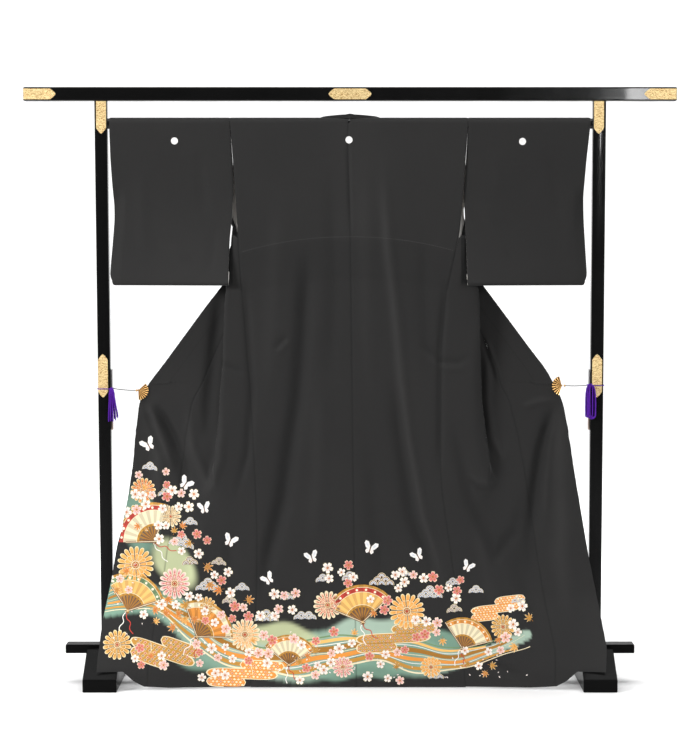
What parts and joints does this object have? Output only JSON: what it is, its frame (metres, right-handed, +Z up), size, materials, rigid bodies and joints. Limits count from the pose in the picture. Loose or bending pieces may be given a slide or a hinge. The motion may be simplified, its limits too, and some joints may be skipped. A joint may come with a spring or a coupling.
{
  "type": "kurotomesode kimono on a kimono display stand",
  "caption": "Black formal kimono hung over the bar of a black lacquered display stand, seen from its back, its front edges held open by fan-shaped clips.",
  "frame": {"origin": "on the floor under the middle of the stand", "axes": "+X along the hanging bar, +Y from the garment's back to its front, +Z up"},
  "size_m": [1.812, 0.31, 1.667],
  "materials": {
    "black_silk": "matte silk crepe",
    "black_lacquer": "glossy black lacquer",
    "gilt_brass": "polished gilt",
    "dark_steel": "satin",
    "purple_silk": "silk cord",
    "grey_cord": "braided cord"
  },
  "bodies": {
    "root": {"body_left": "black_silk", "body_right": "black_silk", "clip_cord_left": "grey_cord", "clip_cord_right": "grey_cord", "collar": "black_silk", "cord_wrap_left": "purple_silk", "cord_wrap_right": "purple_silk", "fan_clip_left": "gilt_brass", "fan_clip_right": "gilt_brass", "foot_left": "black_lacquer", "foot_right": "black_lacquer", "hanging_bar": "black_lacquer", "joint_strip_left": "dark_steel", "joint_strip_right": "dark_steel", "lower_plank": "black_lacquer", "okumi_left": "black_silk", "okumi_right": "black_silk", "plate_beam_centre": "gilt_brass", "plate_beam_left": "gilt_brass", "plate_beam_right": "gilt_brass", "plate_middle_left": "gilt_brass", "plate_middle_right": "gilt_brass", "plate_top_left": "gilt_brass", "plate_top_right": "gilt_brass", "sleeve_left": "black_silk", "sleeve_right": "black_silk", "tassel_left": "purple_silk", "tassel_right": "purple_silk", "top_beam": "black_lacquer", "upright_left": "black_lacquer", "upright_right": "black_lacquer"}
  },
  "joints": []
}
